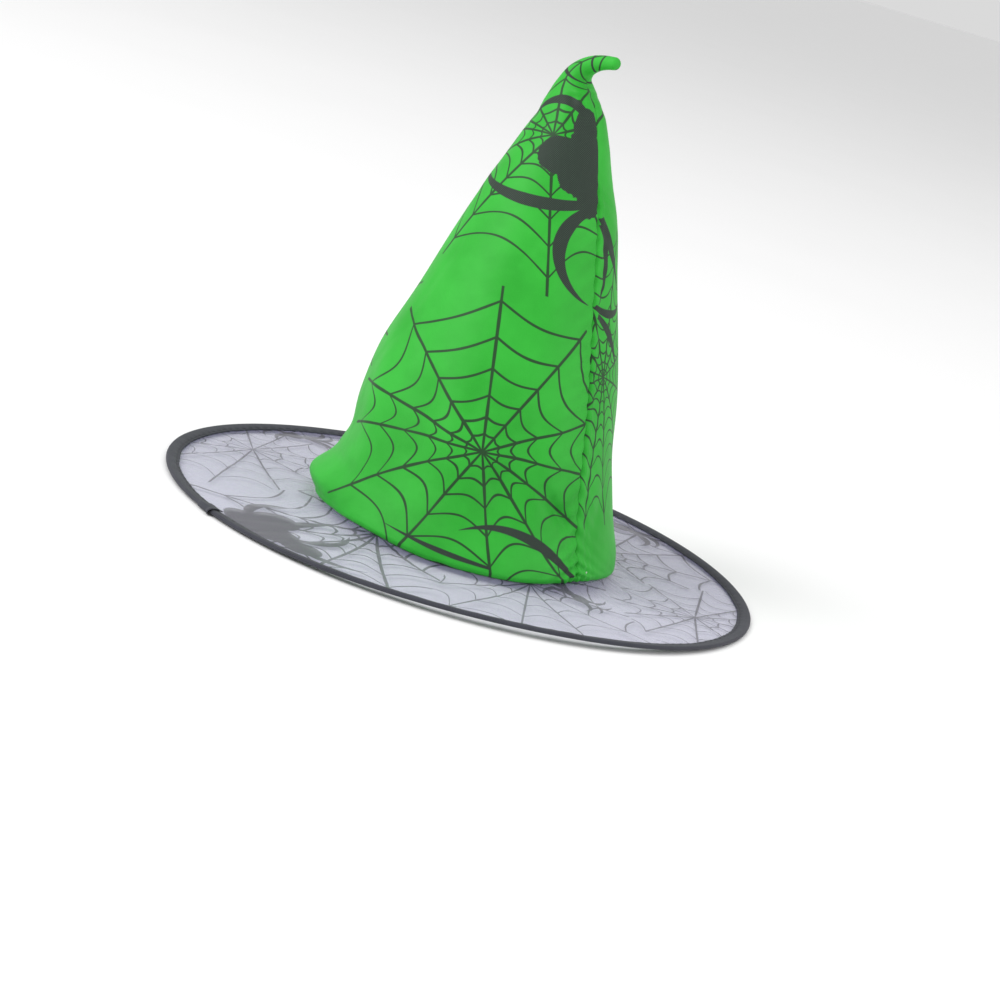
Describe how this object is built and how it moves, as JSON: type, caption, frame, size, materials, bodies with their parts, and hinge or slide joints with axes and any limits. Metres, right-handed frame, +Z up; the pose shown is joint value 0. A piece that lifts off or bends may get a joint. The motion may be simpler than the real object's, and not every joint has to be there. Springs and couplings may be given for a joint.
{
  "type": "witch hat",
  "caption": "Costume witch hat: tall leaning cloth cone with a soft hooked tip, on a flat sheer brim held open by a wire hoop in its bound edge.",
  "frame": {"origin": "centre of the brim and head opening, on the plane the brim's binding rests on", "axes": "+Z up along the brim's axis, +Y to the back seam and the way the hook points, +X to the wearer's left when the seam is worn at the back"},
  "size_m": [0.3799, 0.38, 0.3113],
  "materials": {
    "crown_cloth": "printed satin weave",
    "crown_cloth_inside": "wrong side of a printed weave",
    "tip_cloth": "printed satin weave",
    "interlining": "matt non-woven",
    "filling": "loose fibre",
    "sweatband_ribbon": "ribbed ribbon",
    "label_cloth": "satin ribbon, blank",
    "sheer_cloth": "sheer printed organza",
    "binding_tape": "matt folded tape",
    "black_thread": "twisted thread",
    "green_thread": "twisted thread",
    "spring_wire": "drawn wire",
    "ferrule_metal": "bright tube"
  },
  "bodies": {
    "hat": {"crown_panel": "crown_cloth", "crown_interlining": "interlining", "back_seam_allowance": "crown_cloth_inside", "back_seam_stitches": "green_thread", "sweatband": "sweatband_ribbon", "sweatband_stitches": "black_thread", "base_seam_stitches": "green_thread", "care_label": "label_cloth", "brim_organza": "sheer_cloth", "brim_hoop": "spring_wire", "hoop_ferrule": "ferrule_metal", "brim_binding": "binding_tape", "binding_lap": "binding_tape", "binding_stitches": "black_thread"},
    "tip": {"crown_tip": "tip_cloth", "tip_filling": "filling"}
  },
  "joints": [
    {"name": "tip_bend", "type": "hinge", "parent": "hat", "child": "tip", "pos_m": [0, -0.00631, 0.26793], "axis": [1, 0, 0], "range_deg": [-35, 35], "stiffness_Nm_per_rad": 0.03}
  ]
}
